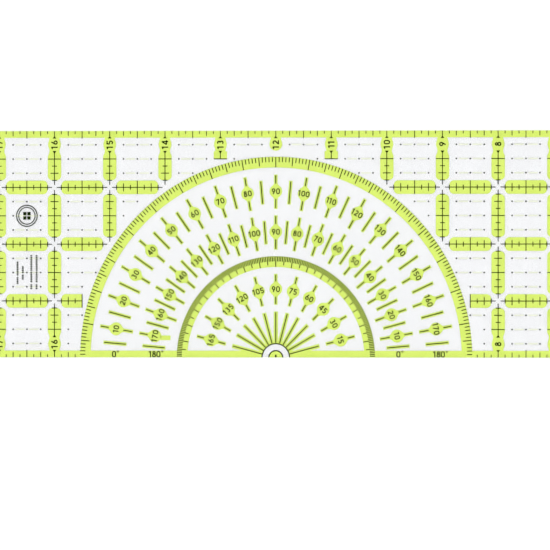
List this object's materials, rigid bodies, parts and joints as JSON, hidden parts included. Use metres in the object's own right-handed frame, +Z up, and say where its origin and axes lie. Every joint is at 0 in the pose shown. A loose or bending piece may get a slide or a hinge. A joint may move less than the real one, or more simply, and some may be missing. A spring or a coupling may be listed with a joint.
{
  "type": "protractor rule",
  "caption": "Clear acrylic drafting rule with a half-circle double protractor on one long edge, inch grid and edge scales printed on its back under a grip film, and a hang hole at one end.",
  "frame": {"origin": "centre of the rule's outline, on the face that lies on the work (the back of the grip film)", "axes": "+X along the rule, towards the end where the inch numbers start; +Y across it, from the edge with the protractor's vertex to the plain long edge; +Z up through its thickness, towards the face that is read"},
  "size_m": [0.6096, 0.1016, 0.0033],
  "materials": {
    "blade": "clear cast acrylic, polished faces",
    "film": "clear matt grip film",
    "highlight_ink": "bright yellow-green screen ink, satin",
    "line_ink": "black screen ink, satin"
  },
  "bodies": {
    "root": {"blade": "blade", "grip_film": "film", "edge_band": "highlight_ink", "inch_number_pads": "highlight_ink", "grid_bars_along": "highlight_ink", "grid_bars_across": "highlight_ink", "outer_degree_band": "highlight_ink", "inner_degree_band": "highlight_ink", "outer_number_pads": "highlight_ink", "middle_number_pads": "highlight_ink", "inner_number_pads": "highlight_ink", "outer_line_halos": "highlight_ink", "middle_line_halos": "highlight_ink", "ray_halos": "highlight_ink", "vertex_pad": "highlight_ink", "edge_ticks": "line_ink", "inch_numbers": "line_ink", "grid_lines_along": "line_ink", "grid_lines_across": "line_ink", "outer_degree_ticks": "line_ink", "inner_degree_ticks": "line_ink", "outer_leaders": "line_ink", "middle_leaders": "line_ink", "inner_leaders": "line_ink", "outer_numbers": "line_ink", "middle_numbers": "line_ink", "inner_numbers": "line_ink", "base_numbers": "line_ink", "centre_rays": "line_ink", "vertex_arcs": "line_ink", "seal": "line_ink", "notice_blocks": "line_ink"}
  },
  "joints": []
}
